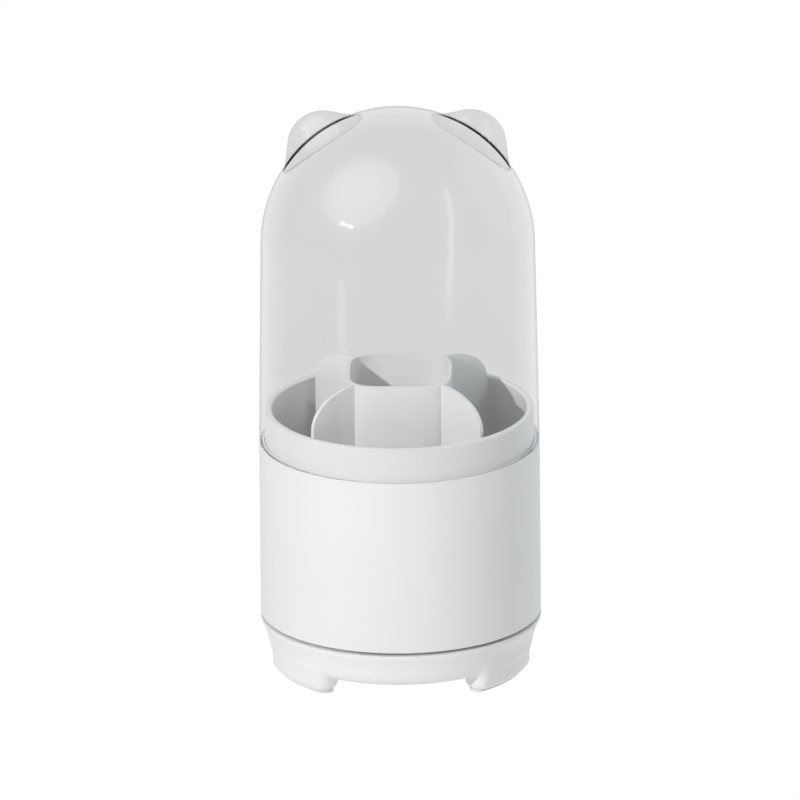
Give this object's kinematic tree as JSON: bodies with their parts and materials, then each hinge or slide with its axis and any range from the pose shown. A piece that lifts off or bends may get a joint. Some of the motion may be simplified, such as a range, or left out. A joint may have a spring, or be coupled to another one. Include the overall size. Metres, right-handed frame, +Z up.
{
  "type": "makeup brush holder",
  "caption": "Round upright makeup brush holder: a white cup with a finned divider turns on a footed base under a clear domed dust cover with two small ears.",
  "frame": {"origin": "middle of the footprint, on the surface that the foot pads rest on", "axes": "+Z up along the turning axis, +X to the viewer's right, towards the right ear, and -Y towards the viewer"},
  "size_m": [0.13, 0.13, 0.2698],
  "materials": {
    "base_white": "satin moulded",
    "shell_white": "satin moulded",
    "liner_white": "satin moulded",
    "divider_white": "satin moulded",
    "clear_plastic": "clear polished",
    "pad_rubber": "matt",
    "cage_natural": "natural",
    "race_steel": "ground",
    "ball_steel": "polished",
    "steel": "zinc plated"
  },
  "bodies": {
    "base": {"base_bowl": "base_white", "base_deck": "base_white", "deck_screws": "steel", "lower_race": "race_steel", "foot_pad_1": "pad_rubber", "foot_pad_2": "pad_rubber", "foot_pad_3": "pad_rubber"},
    "cage": {"ball_cage": "cage_natural", "ball_1": "ball_steel", "ball_2": "ball_steel", "ball_3": "ball_steel", "ball_4": "ball_steel", "ball_5": "ball_steel", "ball_6": "ball_steel", "ball_7": "ball_steel", "ball_8": "ball_steel", "ball_9": "ball_steel", "ball_10": "ball_steel", "ball_11": "ball_steel", "ball_12": "ball_steel"},
    "cup": {"cup_shell": "shell_white", "cup_liner": "liner_white", "upper_race": "race_steel", "pivot_washer": "steel", "pivot_screw": "steel"},
    "divider": {"divider_insert": "divider_white"},
    "cover": {"cover_dome": "clear_plastic", "ear_left": "clear_plastic", "ear_right": "clear_plastic"}
  },
  "joints": [
    {"name": "cup_spin", "type": "hinge", "parent": "base", "child": "cup", "pos_m": [0, 0, 0.02575], "axis": [0, 0, 1], "continuous": true},
    {"name": "cage_spin", "type": "hinge", "parent": "base", "child": "cage", "pos_m": [0, 0, 0.02575], "axis": [0, 0, 1], "continuous": true},
    {"name": "divider_lift", "type": "slide", "parent": "cup", "child": "divider", "axis": [0, 0, 1], "range_m": [0, 0.088]},
    {"name": "cover_lift", "type": "slide", "parent": "cup", "child": "cover", "axis": [0, 0, 1], "range_m": [0, 0.1]}
  ],
  "couplings": [
    {"joint": "cage_spin", "follows": "cup_spin", "ratio": 0.5}
  ]
}
